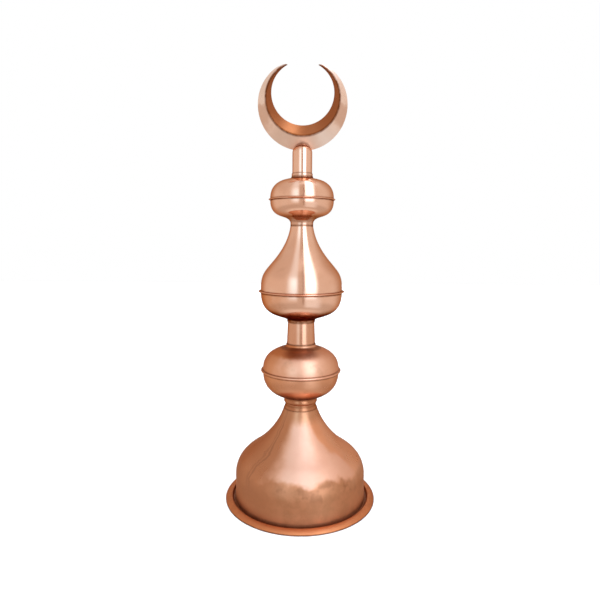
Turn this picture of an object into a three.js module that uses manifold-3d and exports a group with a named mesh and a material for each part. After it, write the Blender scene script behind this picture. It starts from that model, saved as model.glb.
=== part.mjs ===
// A copper roof finial: a bell-shaped foot, two rounded balls and a pear-shaped vase on a common axis,
// joined by short tubes and crowned by a crescent. Millimetres, +Z up, origin under the centre of the foot.
import * as THREE from "three";
import { mergeVertices } from "three/addons/utils/BufferGeometryUtils.js";
import Module from "manifold-3d";

// Sheet and joints
const sheet = 1.2; // thickness of the copper
const seam = 0.3; // gap left at every joint
const tubeReach = 12; // how far a tube stands inside the neck that holds it

// Foot: rolled rim, gutter, upright skirt, rounded shoulder and drawn-in neck
const skirtRadius = 155;
const gutterWidth = 6.4;
const rimWidth = 17;
const rimHeight = 9;
const rimCrestInset = 2.1; // the rim's highest line, from its inner edge
const rimNose = 2.25; // rounding of the rim's outer edge
const skirtHeight = 60;
const shoulderHeight = 60;
const waistRadius = 119.2; // where the shoulder turns into the hollow of the neck
const neckHeight = 100;
const neckRadius = 39.4;

// Collar between the foot and the lower ball
const collarHeight = 26.7;
const coneHeight = 8; // its lower edge, which carries on the slope of the foot's neck
const grooveHeight = 5; // the straight waist between the cone and the bead
const beadHeight = 11;
const beadOut = 3.2; // how far the bead stands out of the waist
const beadReturn = 0.8; // how far the collar's top stands in from the bead's crown

// Lower ball
const lowerBallRadius = 89.6;
const lowerBallBelow = 60.7; // from its seat up to the rib
const lowerRibHeight = 6;
const lowerRibOut = 4.7;
const lowerBallAbove = 60; // from the rib up to the edge of its neck

// Lower tube, slightly conical, between the lower ball and the vase
const lowerTubeFootRadius = 33.3;
const lowerTubeHeadRadius = 31.3;
const lowerTubeHeight = 52;

// Vase: a deep bowl below the rib, a shoulder and a long drawn neck above it
const vaseRadius = 94.2;
const vaseBelow = 68;
const vaseRibHeight = 5;
const vaseRibOut = 5.6;
const vaseShoulderHeight = 66.8;
const vaseWaistRadius = 65.4; // where the shoulder turns into the hollow of the neck
const vaseNeckHeight = 80.2;
const vaseNeckRadius = 26.1;

// Upper ball
const upperSocketHeight = 5; // straight edge that covers the end of the vase's neck
const upperBallRadius = 72.6;
const upperBallBelow = 56.7;
const upperRibHeight = 4;
const upperRibOut = 3.6;
const upperBallAbove = 55.5;

// Necks of the balls and the vase: the straight edge round a tube, and the hollow that leads to it
const neckEdge = 2.5;
const lowerBallHollow = { height: 5.6, width: 6.7 };
const vaseHollow = { height: 4.8, width: 3.8 };
const upperBallFootHollow = { height: 12.5, width: 9.8 };
const upperBallHeadHollow = { height: 9.6, width: 10.2 };

// Upper tube, with a domed end that is slit for the crescent
const upperTubeRadius = 22.4;
const upperTubeHeight = 46.5;
const domeHeight = 17;
const crescentLift = 4; // the crescent's lowest edge above the start of the dome

// Crescent: a lune between two circles, with a ridge along the middle of both faces
const crescentOuterRadius = 100;
const crescentInnerRadius = 70;
const crescentOffset = 25.5; // the inner circle's centre above the outer circle's
const hornAngle = 151.3; // degrees from the lowest point round to the tip of a horn
const hornRounding = 30; // degrees over which a horn is rounded off to its tip
const ridgeDepthShare = 0.4; // how far a ridge stands out, as a share of the crescent's width there
const ridgeShareBelow = 0.48; // the ridge's way out from the inner edge at the lowest point, of the width
const ridgeShareAbove = 0.3; // the same above the centre, which sets its course towards the horns

// Slopes of the outlines, in degrees: 0 runs out from the axis, 90 straight up, 180 in to the axis
const upright = 90;
const rimSlope = 120;
const rimCrestSlope = 175;
const bellSlope = 146.3;
const neckSlope = 111.7;
const underBallSlope = 19.6;
const overBallSlope = 163.3;
const underBowlSlope = 26.2;
const vaseSlope = 130.2;
const vaseNeckSlope = 98;
const underUpperBallSlope = 28.9;
const overUpperBallSlope = 165.4;

// Pulls of the curved stretches: the share of the straight distance over which a curve keeps to its slope,
// where it leaves and where it arrives
const rimPull = { out: 0.3, in: 0.4 };
const bellShoulderPull = { out: 0.395, in: 0.365 };
const bellNeckPull = { out: 0.45, in: 0.233 };
const underBallPull = { out: 0.23, in: 0.56 };
const overBallPull = { out: 0.36, in: 0.52 };
const lowerBallHollowPull = { out: 0.35, in: 0.35 };
const vaseHollowPull = { out: 0.4, in: 0.3 };
const underBowlPull = { out: 0.26, in: 0.62 };
const vaseShoulderPull = { out: 0.49, in: 0.478 };
const vaseNeckPull = { out: 0.31, in: 0.37 };
const upperBallFootHollowPull = { out: 0.5, in: 0.2 };
const underUpperBallPull = { out: 0.19, in: 0.65 };
const overUpperBallPull = { out: 0.62, in: 0.16 };
const upperBallHeadHollowPull = { out: 0.45, in: 0.6 };

// Fineness of the facets
const around = 24;
const bendSteps = 5;
const hollowSteps = 2;
const roundSteps = 3;
const roundRibSteps = 4;
const sharpRibSteps = 2;
const crescentSteps = 44;

// Heights of the joints, from the ground up
const waistLevel = skirtHeight + shoulderHeight;
const bellTop = waistLevel + neckHeight;
const collarFoot = bellTop + seam;
const collarTop = collarFoot + collarHeight;
const lowerBallFoot = collarTop + seam;
const lowerRibFoot = lowerBallFoot + lowerBallBelow;
const lowerRibTop = lowerRibFoot + seam + lowerRibHeight;
const lowerBallTop = lowerRibTop + lowerBallAbove;
const vaseFoot = lowerBallTop + lowerTubeHeight;
const vaseRibFoot = vaseFoot + vaseBelow;
const vaseRibTop = vaseRibFoot + seam + vaseRibHeight;
const vaseWaistLevel = vaseRibTop + vaseShoulderHeight;
const vaseTop = vaseWaistLevel + vaseNeckHeight;
const upperBallFoot = vaseTop + seam;
const upperRibFoot = upperBallFoot + upperBallBelow;
const upperRibTop = upperRibFoot + seam + upperRibHeight;
const upperBallTop = upperRibTop + upperBallAbove;
const domeFoot = upperBallTop + upperTubeHeight;
const crescentFoot = domeFoot + crescentLift;

const radians = THREE.MathUtils.degToRad;
const point = (radius, height) => new THREE.Vector2(radius, height);

// Radii that follow from their neighbours
const collarWaistRadius = neckRadius + coneHeight / Math.tan(radians(neckSlope));
const collarTopRadius = collarWaistRadius + beadOut - beadReturn;
const spigotInset = sheet + seam;

const along = (slope, length) => point(length * Math.cos(radians(slope)), length * Math.sin(radians(slope)));

// A smooth stretch of outline that leaves and arrives at given slopes.
function bend(from, to, leave, arrive, pull, steps = bendSteps) {
  const span = from.distanceTo(to);
  const first = from.clone().add(along(leave, span * pull.out));
  const last = to.clone().sub(along(arrive, span * pull.in));
  return new THREE.CubicBezierCurve(from, first, last, to).getPoints(steps);
}

// A stretch of an upright ellipse between two angles, counted from the outward side.
function arc(centre, out, half, fromAngle, toAngle, steps = roundSteps) {
  const ellipse = new THREE.EllipseCurve(centre.x, centre.y, out, half, radians(fromAngle), radians(toAngle));
  return ellipse.getPoints(steps);
}

// Stretches in a row, each point once.
function chain(...stretches) {
  const row = stretches.flat();
  return row.filter((p, i) => i === 0 || p.distanceTo(row[i - 1]) > sheet / 100);
}

// The same line moved to its left, which is the inner side of a line that climbs the outer surface.
// An end that climbs is cut level.
function inward(line) {
  const end = line.length - 1;
  const leftOf = (a, b) => point(a.y - b.y, b.x - a.x).normalize();
  const climbs = (normal) => Math.abs(normal.x) > Math.abs(normal.y);
  return line.map((p, i) => {
    const before = i === 0 ? leftOf(p, line[1]) : leftOf(line[i - 1], p);
    if ((i === 0 || i === end) && climbs(before)) return point(p.x + sheet / before.x, p.y);
    const after = i === end ? before : leftOf(p, line[i + 1]);
    const middle = before.clone().add(after).normalize();
    return p.clone().add(middle.multiplyScalar(sheet / middle.dot(before)));
  });
}

// Section of a piece of sheet: up its outer surface and down its inner one.
function sheetSection(line) {
  return [...line, ...inward(line).reverse()];
}

// Section of an upper half whose lower edge is folded into a solid rib.
function ribbedSection(line, height, out, steps) {
  const edge = line[0];
  const nose = arc(point(edge.x, edge.y - height / 2), out, height / 2, -90, 90, steps);
  return [point(edge.x - sheet, edge.y - height), ...chain(nose, line), ...inward(line).reverse()];
}

// The top of a piece that stands inside the next one: a shoulder, then a spigot that leans like the joint.
function spigot(radius, height, rise, slope = upright) {
  const inside = radius - spigotInset / Math.sin(radians(slope));
  const lean = rise / Math.tan(radians(slope));
  return [point(radius, height), point(inside, height), point(inside + lean, height + rise)];
}

// A closed section turned about the axis.
function turned(section) {
  return new THREE.LatheGeometry([...section, section[0].clone()], around).rotateX(Math.PI / 2);
}

// Foot
function bell() {
  const rimInside = skirtRadius + gutterWidth;
  const rimOutside = rimInside + rimWidth;
  const crest = point(rimInside + rimCrestInset, rimHeight);
  const noseTop = point(rimOutside - rimNose / 2, rimNose * 2);
  const rim = [
    point(skirtRadius - sheet, 0),
    point(rimOutside - rimNose, 0),
    point(rimOutside, rimNose),
    ...bend(noseTop, crest, rimSlope, rimCrestSlope, rimPull, hollowSteps),
    point(rimInside, rimHeight / 2),
    point(rimInside - gutterWidth / 3, sheet),
    point(skirtRadius + gutterWidth / 4, sheet),
  ];
  const skirtTop = point(skirtRadius, skirtHeight);
  const waist = point(waistRadius, waistLevel);
  const wall = chain(
    [point(skirtRadius, sheet * 2)],
    bend(skirtTop, waist, upright, bellSlope, bellShoulderPull),
    bend(waist, point(neckRadius, bellTop), bellSlope, neckSlope, bellNeckPull),
    spigot(neckRadius, bellTop, coneHeight - seam, neckSlope),
  );
  const inside = inward(wall).slice(1);
  return turned([...rim, ...wall, ...inside.reverse()]);
}

// Collar
function collar() {
  const waist = point(collarWaistRadius, collarFoot + coneHeight);
  const crown = point(collarWaistRadius, waist.y + grooveHeight + beadHeight / 2);
  const beadEnd = THREE.MathUtils.radToDeg(Math.acos(1 - beadReturn / beadOut));
  const line = chain(
    [point(neckRadius, collarFoot), waist],
    arc(crown, beadOut, beadHeight / 2, -90, beadEnd),
    spigot(collarTopRadius, collarTop, tubeReach),
  );
  return turned(sheetSection(line));
}

// Lower ball
function lowerBallLowerHalf() {
  const hole = point(collarTopRadius - sheet, lowerBallFoot);
  const seat = point(collarTopRadius + sheet, lowerBallFoot);
  const line = chain(
    [hole],
    bend(seat, point(lowerBallRadius, lowerRibFoot), underBallSlope, upright, underBallPull),
    spigot(lowerBallRadius, lowerRibFoot, lowerRibHeight),
  );
  return turned(sheetSection(line));
}

function lowerBallUpperHalf() {
  const neck = lowerTubeFootRadius + spigotInset;
  const neckFoot = point(neck, lowerBallTop - neckEdge);
  const turn = point(neck + lowerBallHollow.width, neckFoot.y - lowerBallHollow.height);
  const line = chain(
    bend(point(lowerBallRadius, lowerRibTop), turn, upright, overBallSlope, overBallPull),
    bend(turn, neckFoot, overBallSlope, upright, lowerBallHollowPull, hollowSteps),
    [point(neck, lowerBallTop)],
  );
  return turned(ribbedSection(line, lowerRibHeight, lowerRibOut, roundRibSteps));
}

// Lower tube
function lowerTube() {
  const taper = (lowerTubeFootRadius - lowerTubeHeadRadius) / lowerTubeHeight;
  const foot = point(lowerTubeFootRadius + taper * tubeReach, lowerBallTop - tubeReach);
  const head = point(lowerTubeHeadRadius - taper * tubeReach, vaseFoot + tubeReach);
  return turned(sheetSection([foot, head]));
}

// Vase
function vaseBowl() {
  const neck = lowerTubeHeadRadius + spigotInset;
  const neckTop = point(neck, vaseFoot + neckEdge);
  const turn = point(neck + vaseHollow.width, neckTop.y + vaseHollow.height);
  const line = chain(
    [point(neck, vaseFoot)],
    bend(neckTop, turn, upright, underBowlSlope, vaseHollowPull, hollowSteps),
    bend(turn, point(vaseRadius, vaseRibFoot), underBowlSlope, upright, underBowlPull),
    spigot(vaseRadius, vaseRibFoot, vaseRibHeight),
  );
  return turned(sheetSection(line));
}

function vaseShoulderAndNeck() {
  const waist = point(vaseWaistRadius, vaseWaistLevel);
  const line = chain(
    bend(point(vaseRadius, vaseRibTop), waist, upright, vaseSlope, vaseShoulderPull),
    bend(waist, point(vaseNeckRadius, vaseTop), vaseSlope, vaseNeckSlope, vaseNeckPull),
    spigot(vaseNeckRadius, vaseTop, upperSocketHeight),
  );
  return turned(ribbedSection(line, vaseRibHeight, vaseRibOut, sharpRibSteps));
}

// Upper ball
function upperBallLowerHalf() {
  const socketTop = point(vaseNeckRadius, upperBallFoot + upperSocketHeight);
  const turn = point(vaseNeckRadius + upperBallFootHollow.width, socketTop.y + upperBallFootHollow.height);
  const line = chain(
    [point(vaseNeckRadius, upperBallFoot)],
    bend(socketTop, turn, upright, underUpperBallSlope, upperBallFootHollowPull, hollowSteps),
    bend(turn, point(upperBallRadius, upperRibFoot), underUpperBallSlope, upright, underUpperBallPull),
    spigot(upperBallRadius, upperRibFoot, upperRibHeight),
  );
  return turned(sheetSection(line));
}

function upperBallUpperHalf() {
  const neck = upperTubeRadius + spigotInset;
  const neckFoot = point(neck, upperBallTop - neckEdge);
  const turn = point(neck + upperBallHeadHollow.width, neckFoot.y - upperBallHeadHollow.height);
  const line = chain(
    bend(point(upperBallRadius, upperRibTop), turn, upright, overUpperBallSlope, overUpperBallPull),
    bend(turn, neckFoot, overUpperBallSlope, upright, upperBallHeadHollowPull, hollowSteps),
    [point(neck, upperBallTop)],
  );
  return turned(ribbedSection(line, upperRibHeight, upperRibOut, sharpRibSteps));
}

// Crescent: kite-shaped sections round the inner circle, drawn together to a point at each horn.
// A clearance moves every face of the same form outwards by that much.
function crescent(clearance = 0) {
  const centre = crescentFoot + crescentOuterRadius + crescentOffset;
  const horn = radians(hornAngle);
  const rounding = radians(hornRounding);

  const at = (angle, radius, depth) => [radius * Math.sin(angle), depth, centre - radius * Math.cos(angle)];
  const widthAt = (angle) => {
    const lift = crescentOffset * Math.cos(angle);
    const across = crescentOffset * Math.sin(angle);
    const lune = lift + Math.sqrt(crescentOuterRadius ** 2 - across ** 2) - crescentInnerRadius;
    const nearTip = Math.max(0, (Math.abs(angle) - horn + rounding) / rounding);
    return lune * Math.sqrt(1 - nearTip ** 2);
  };
  const sectionAt = (angle) => {
    const width = widthAt(angle);
    const lowness = (1 + Math.cos(angle)) / 2;
    const ridgeShare = ridgeShareAbove + (ridgeShareBelow - ridgeShareAbove) * lowness;
    const innerBevel = Math.atan(ridgeDepthShare / ridgeShare);
    const outerBevel = Math.atan(ridgeDepthShare / (1 - ridgeShare));
    const inner = crescentInnerRadius - clearance / Math.sin(innerBevel);
    const outer = crescentInnerRadius + width + clearance / Math.sin(outerBevel);
    const innerRise = Math.tan(innerBevel);
    const outerRise = Math.tan(outerBevel);
    const ridge = (inner * innerRise + outer * outerRise) / (innerRise + outerRise);
    return { inner, outer, ridge, depth: (ridge - inner) * innerRise };
  };

  const corners = [];
  const faces = [];
  const rings = crescentSteps - 1;
  for (let i = 1; i <= rings; i += 1) {
    const angle = horn * ((2 * i) / crescentSteps - 1);
    const { inner, outer, ridge, depth } = sectionAt(angle);
    corners.push(at(angle, inner, 0), at(angle, ridge, -depth), at(angle, outer, 0), at(angle, ridge, depth));
  }
  for (let i = 0; i < rings - 1; i += 1) {
    for (let side = 0; side < 4; side += 1) {
      const a = 4 * i + side;
      const b = 4 * i + ((side + 1) % 4);
      faces.push(a, b, a + 4, b, b + 4, a + 4);
    }
  }
  const leftTip = corners.push(at(-horn, crescentInnerRadius, 0)) - 1;
  const rightTip = corners.push(at(horn, crescentInnerRadius, 0)) - 1;
  const lastRing = 4 * (rings - 1);
  for (let side = 0; side < 4; side += 1) {
    const next = (side + 1) % 4;
    faces.push(leftTip, next, side);
    faces.push(rightTip, lastRing + side, lastRing + next);
  }
  const geometry = new THREE.BufferGeometry();
  geometry.setAttribute("position", new THREE.Float32BufferAttribute(corners.flat(), 3));
  geometry.setIndex(faces);
  geometry.computeVertexNormals();
  return geometry;
}

// Upper tube
const wasm = await Module();
wasm.setup();

function toSolid(geometry) {
  const bare = geometry.clone();
  bare.deleteAttribute("normal");
  bare.deleteAttribute("uv");
  const merged = mergeVertices(bare, 1e-3);
  const vertProperties = merged.attributes.position.array;
  const triVerts = new Uint32Array(merged.index.array);
  return new wasm.Manifold(new wasm.Mesh({ numProp: 3, vertProperties, triVerts }));
}

function toGeometry(solid) {
  const mesh = solid.getMesh();
  const geometry = new THREE.BufferGeometry();
  geometry.setAttribute("position", new THREE.Float32BufferAttribute(mesh.vertProperties, 3));
  geometry.setIndex(Array.from(mesh.triVerts));
  geometry.computeVertexNormals();
  return geometry;
}

function upperTube() {
  const foot = upperBallTop - tubeReach;
  const centre = point(0, domeFoot);
  const section = [
    ...arc(centre, upperTubeRadius - sheet, domeHeight - sheet, 90, 0),
    point(upperTubeRadius - sheet, foot),
    point(upperTubeRadius, foot),
    ...arc(centre, upperTubeRadius, domeHeight, 0, 90),
  ];
  section[0].x = 0;
  section[section.length - 1].x = 0;
  const capped = new THREE.LatheGeometry(section, around).rotateX(Math.PI / 2);
  return toGeometry(toSolid(capped).subtract(toSolid(crescent(seam))));
}

// The finial
const brightCopper = new THREE.MeshStandardMaterial({ color: 0xd9966f, roughness: 0.18, metalness: 1 });
const brownCopper = new THREE.MeshStandardMaterial({ color: 0xb8734c, roughness: 0.28, metalness: 1 });

const pieces = [
  ["base_bell", bell(), brownCopper],
  ["neck_collar", collar(), brownCopper],
  ["lower_ball_lower_half", lowerBallLowerHalf(), brightCopper],
  ["lower_ball_upper_half", lowerBallUpperHalf(), brightCopper],
  ["lower_tube", lowerTube(), brightCopper],
  ["vase_bowl", vaseBowl(), brightCopper],
  ["vase_shoulder_and_neck", vaseShoulderAndNeck(), brightCopper],
  ["upper_ball_lower_half", upperBallLowerHalf(), brightCopper],
  ["upper_ball_upper_half", upperBallUpperHalf(), brightCopper],
  ["upper_tube", upperTube(), brightCopper],
  ["crescent", crescent(), brightCopper],
];

const finial = new THREE.Group();
for (const [name, geometry, material] of pieces) {
  const mesh = new THREE.Mesh(geometry, material.clone());
  mesh.name = name;
  finial.add(mesh);
}

export default finial;
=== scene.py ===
import math

import bmesh
import bpy
from mathutils import Euler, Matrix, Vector, noise


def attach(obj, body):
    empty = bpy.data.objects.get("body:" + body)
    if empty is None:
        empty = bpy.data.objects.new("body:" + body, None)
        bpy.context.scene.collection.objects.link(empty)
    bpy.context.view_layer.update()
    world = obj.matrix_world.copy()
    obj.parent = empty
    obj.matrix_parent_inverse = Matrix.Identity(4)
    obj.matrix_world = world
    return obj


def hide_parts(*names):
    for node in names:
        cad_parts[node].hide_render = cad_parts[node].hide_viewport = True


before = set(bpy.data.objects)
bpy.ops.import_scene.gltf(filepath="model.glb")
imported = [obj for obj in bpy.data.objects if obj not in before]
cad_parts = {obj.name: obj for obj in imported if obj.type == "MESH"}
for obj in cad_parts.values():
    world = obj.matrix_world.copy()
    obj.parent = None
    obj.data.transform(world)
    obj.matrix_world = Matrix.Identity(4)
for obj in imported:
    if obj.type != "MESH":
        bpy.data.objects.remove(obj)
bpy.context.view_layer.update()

MM = 0.001

# Sizes of the finial in millimetres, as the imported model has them
SHEET = 1.2
SEAM = 0.3
TUBE_REACH = 12

SKIRT_RADIUS = 155
GUTTER_WIDTH = 6.4
RIM_WIDTH = 17
RIM_HEIGHT = 9
SKIRT_HEIGHT = 60
SHOULDER_HEIGHT = 60
BELL_WAIST_RADIUS = 119.2
BELL_NECK_HEIGHT = 100
BELL_NECK_RADIUS = 39.4

COLLAR_HEIGHT = 26.7
CONE_HEIGHT = 8
GROOVE_HEIGHT = 5
BEAD_HEIGHT = 11
BEAD_OUT = 3.2
BEAD_RETURN = 0.8

LOWER_BALL_RADIUS = 89.6
LOWER_BALL_BELOW = 60.7
LOWER_RIB_HEIGHT = 6
LOWER_RIB_OUT = 4.7
LOWER_BALL_ABOVE = 60

LOWER_TUBE_FOOT_RADIUS = 33.3
LOWER_TUBE_HEAD_RADIUS = 31.3
LOWER_TUBE_HEIGHT = 52

VASE_RADIUS = 94.2
VASE_BELOW = 68
VASE_RIB_HEIGHT = 5
VASE_RIB_OUT = 5.6
VASE_SHOULDER_HEIGHT = 66.8
VASE_WAIST_RADIUS = 65.4
VASE_NECK_HEIGHT = 80.2
VASE_NECK_RADIUS = 26.1

UPPER_SOCKET_HEIGHT = 5
UPPER_BALL_RADIUS = 72.6
UPPER_BALL_BELOW = 56.7
UPPER_RIB_HEIGHT = 4
UPPER_RIB_OUT = 3.6
UPPER_BALL_ABOVE = 55.5

NECK_EDGE = 2.5
LOWER_BALL_HOLLOW = (6.7, 5.6)
VASE_HOLLOW = (3.8, 4.8)
UPPER_FOOT_HOLLOW = (9.8, 12.5)
UPPER_HEAD_HOLLOW = (10.2, 9.6)

UPPER_TUBE_RADIUS = 22.4
UPPER_TUBE_HEIGHT = 46.5
DOME_HEIGHT = 17
CRESCENT_LIFT = 4

CRESCENT_OUTER_RADIUS = 100
CRESCENT_INNER_RADIUS = 70
CRESCENT_OFFSET = 25.5
RIDGE_DEPTH_SHARE = 0.4
RIDGE_SHARE_BELOW = 0.48
RIDGE_SHARE_ABOVE = 0.3

# The crescent's horns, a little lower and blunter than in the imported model
HORN_ANGLE = 151.3
HORN_ROUNDING = 22
HORN_DROP = 0.966

# The rolled rim's rounded section
RIM_NOSE = RIM_HEIGHT / 4
RIM_CREST_INSET = RIM_WIDTH / 8
RIM_LIP_HEIGHT = RIM_HEIGHT * 0.55

# Slopes of the outlines in degrees: 0 runs out from the axis, 90 straight up, 180 in to the axis
UPRIGHT = 90
BELL_SLOPE = 146.3
NECK_SLOPE = 111.7
UNDER_BALL_SLOPE = 19.6
OVER_BALL_SLOPE = 163.3
UNDER_BOWL_SLOPE = 26.2
VASE_SLOPE = 130.2
VASE_NECK_SLOPE = 98
UNDER_UPPER_BALL_SLOPE = 28.9
OVER_UPPER_BALL_SLOPE = 165.4
RIM_SLOPE = 100
RIM_CREST_SLOPE = 176
RIM_LIP_SLOPE = 190
INTO_GUTTER_SLOPE = 268
LEVEL_INWARDS = 180

# How strongly the two ends of a smooth stretch pull it along their slopes, as shares of its span
BELL_SHOULDER_PULL = (0.395, 0.365)
BELL_NECK_PULL = (0.45, 0.233)
UNDER_BALL_PULL = (0.23, 0.56)
OVER_BALL_PULL = (0.36, 0.52)
BALL_HOLLOW_PULL = (0.35, 0.35)
UNDER_BOWL_PULL = (0.26, 0.62)
BOWL_HOLLOW_PULL = (0.4, 0.3)
VASE_SHOULDER_PULL = (0.49, 0.478)
VASE_NECK_PULL = (0.31, 0.37)
UNDER_UPPER_BALL_PULL = (0.19, 0.65)
UPPER_FOOT_HOLLOW_PULL = (0.5, 0.2)
OVER_UPPER_BALL_PULL = (0.62, 0.16)
UPPER_HEAD_HOLLOW_PULL = (0.45, 0.6)
RIM_PULL = (0.16, 0.46)
RIM_LIP_PULL = (0.4, 0.4)
GUTTER_PULL = (0.5, 0.5)

# How pointed the seam ribs are: 0 is round, 1 comes to an edge
LOWER_RIB_SHARPNESS = 0.0
VASE_RIB_SHARPNESS = 0.4
UPPER_RIB_SHARPNESS = 0.5

# Heights of the joints
BELL_WAIST = SKIRT_HEIGHT + SHOULDER_HEIGHT
BELL_TOP = BELL_WAIST + BELL_NECK_HEIGHT
COLLAR_FOOT = BELL_TOP + SEAM
COLLAR_TOP = COLLAR_FOOT + COLLAR_HEIGHT
LOWER_BALL_FOOT = COLLAR_TOP + SEAM
LOWER_RIB_FOOT = LOWER_BALL_FOOT + LOWER_BALL_BELOW
LOWER_RIB_TOP = LOWER_RIB_FOOT + SEAM + LOWER_RIB_HEIGHT
LOWER_BALL_TOP = LOWER_RIB_TOP + LOWER_BALL_ABOVE
VASE_FOOT = LOWER_BALL_TOP + LOWER_TUBE_HEIGHT
VASE_RIB_FOOT = VASE_FOOT + VASE_BELOW
VASE_RIB_TOP = VASE_RIB_FOOT + SEAM + VASE_RIB_HEIGHT
VASE_WAIST = VASE_RIB_TOP + VASE_SHOULDER_HEIGHT
VASE_TOP = VASE_WAIST + VASE_NECK_HEIGHT
UPPER_BALL_FOOT = VASE_TOP + SEAM
UPPER_RIB_FOOT = UPPER_BALL_FOOT + UPPER_BALL_BELOW
UPPER_RIB_TOP = UPPER_RIB_FOOT + SEAM + UPPER_RIB_HEIGHT
UPPER_BALL_TOP = UPPER_RIB_TOP + UPPER_BALL_ABOVE
DOME_FOOT = UPPER_BALL_TOP + UPPER_TUBE_HEIGHT
CRESCENT_FOOT = DOME_FOOT + CRESCENT_LIFT
CRESCENT_CENTRE = CRESCENT_FOOT + CRESCENT_OUTER_RADIUS + CRESCENT_OFFSET

COLLAR_WAIST_RADIUS = BELL_NECK_RADIUS + CONE_HEIGHT / math.tan(math.radians(NECK_SLOPE))
COLLAR_TOP_RADIUS = COLLAR_WAIST_RADIUS + BEAD_OUT - BEAD_RETURN
SPIGOT_INSET = SHEET + SEAM

# Fineness of the surfaces
AROUND = 192
BELL_NECK_STEPS = 60
BELL_STEPS = 44
BALL_STEPS = 40
VASE_STEPS = 36
UPPER_HOLLOW_STEPS = 14
HOLLOW_STEPS = 9
TUBE_STEPS = 20
LOWER_TUBE_STEPS = 24
INNER_TUBE_STEPS = 16
CONE_STEPS = 4
RIM_STEPS = 18
NOSE_STEPS = 6
LIP_STEPS = 5
GUTTER_STEPS = 4
ROUND_STEPS = 12
FINE_ROUND_STEPS = 18
CRESCENT_STEPS = 220
CRESCENT_FACE_STEPS = 14
CUTTER_STEPS = 120
SHARP_ANGLE = 40
CRESCENT_SHARP_ANGLE = 25
NEARLY_NOTHING = SHEET / 100


# Outlines, as lists of (radius, height)

def along(slope, length):
    return Vector((math.cos(math.radians(slope)), math.sin(math.radians(slope)))) * length


def bend(start, end, leave, arrive, pull, steps):
    """A smooth stretch that leaves and arrives at given slopes, as a cubic curve."""
    a, d = Vector(start), Vector(end)
    span = (d - a).length
    b, c = a + along(leave, span * pull[0]), d - along(arrive, span * pull[1])
    points = []
    for i in range(steps + 1):
        t = i / steps
        s = 1 - t
        points.append(a * s ** 3 + b * 3 * s * s * t + c * 3 * s * t * t + d * t ** 3)
    return points


def arc(centre, out, half, first, last, steps=ROUND_STEPS):
    """A stretch of an upright ellipse between two angles, counted from the outward side."""
    angles = [math.radians(first + (last - first) * i / steps) for i in range(steps + 1)]
    return [Vector((centre[0] + out * math.cos(a), centre[1] + half * math.sin(a))) for a in angles]


def straight(start, end, steps):
    a, b = Vector(start), Vector(end)
    return [a.lerp(b, i / steps) for i in range(steps + 1)]


def chain(*stretches):
    """The stretches one after the other, without the points that they share."""
    row = []
    for stretch in stretches:
        for p in stretch:
            p = Vector(p)
            if not row or (p - row[-1]).length > NEARLY_NOTHING:
                row.append(p)
    return row


def inward(line):
    """The inner side of a sheet whose outer side is the line. An end that climbs is cut level."""
    def left_of(a, b):
        return Vector((a.y - b.y, b.x - a.x)).normalized()

    result = []
    for i, p in enumerate(line):
        before = left_of(p, line[1]) if i == 0 else left_of(line[i - 1], p)
        at_end = i in (0, len(line) - 1)
        if at_end and abs(before.x) > abs(before.y):
            result.append(Vector((p.x + SHEET / before.x, p.y)))
            continue
        after = before if at_end else left_of(p, line[i + 1])
        middle = (before + after).normalized()
        result.append(p + middle * (SHEET / middle.dot(before)))
    return result


def sheet_section(line):
    return line + inward(line)[::-1]


def ribbed_section(line, height, out, sharpness):
    """An upper half whose lower edge is folded into a solid rib."""
    edge = line[0]
    middle = edge.y - height / 2
    nose = []
    for p in arc((0, 0), 1, 1, -90, 90):
        pointed = 1 - abs(p.y)
        reach = p.x * (1 - sharpness) + pointed * sharpness
        nose.append(Vector((edge.x + reach * out, middle + p.y * height / 2)))
    return [Vector((edge.x - SHEET, edge.y - height))] + chain(nose, line) + inward(line)[::-1]


def spigot(radius, height, rise, slope=UPRIGHT):
    """A shoulder, then a spigot that stands inside the next piece."""
    inside = radius - SPIGOT_INSET / math.sin(math.radians(slope))
    lean = rise / math.tan(math.radians(slope))
    return [Vector((radius, height)), Vector((inside, height)), Vector((inside + lean, height + rise))]


# Sections of the pieces

def bell_section():
    rim_inside = SKIRT_RADIUS + GUTTER_WIDTH
    rim_outside = rim_inside + RIM_WIDTH
    crest = (rim_inside + RIM_CREST_INSET, RIM_HEIGHT)
    lip = (rim_inside, RIM_LIP_HEIGHT)
    gutter_outside = (rim_inside - GUTTER_WIDTH / 2, SHEET)
    gutter_inside = (SKIRT_RADIUS + GUTTER_WIDTH / 3, SHEET)
    skirt_foot = (SKIRT_RADIUS, 2 * SHEET)
    rim = chain(
        [(SKIRT_RADIUS - SHEET, 0)],
        arc((rim_outside - RIM_NOSE, RIM_NOSE), RIM_NOSE, RIM_NOSE, -90, 0, NOSE_STEPS),
        bend((rim_outside, RIM_NOSE), crest, RIM_SLOPE, RIM_CREST_SLOPE, RIM_PULL, RIM_STEPS),
        bend(crest, lip, RIM_LIP_SLOPE, INTO_GUTTER_SLOPE, RIM_LIP_PULL, LIP_STEPS),
        bend(lip, gutter_outside, INTO_GUTTER_SLOPE, LEVEL_INWARDS, GUTTER_PULL, LIP_STEPS),
        bend(gutter_inside, skirt_foot, LEVEL_INWARDS, UPRIGHT, GUTTER_PULL, GUTTER_STEPS),
    )
    skirt_top = (SKIRT_RADIUS, SKIRT_HEIGHT)
    waist = (BELL_WAIST_RADIUS, BELL_WAIST)
    wall = chain(
        straight(skirt_foot, skirt_top, TUBE_STEPS),
        bend(skirt_top, waist, UPRIGHT, BELL_SLOPE, BELL_SHOULDER_PULL, BELL_STEPS),
        bend(waist, (BELL_NECK_RADIUS, BELL_TOP), BELL_SLOPE, NECK_SLOPE, BELL_NECK_PULL, BELL_NECK_STEPS),
        spigot(BELL_NECK_RADIUS, BELL_TOP, CONE_HEIGHT - SEAM, NECK_SLOPE),
    )
    return rim[:-1] + wall + inward(wall)[:0:-1]


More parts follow.
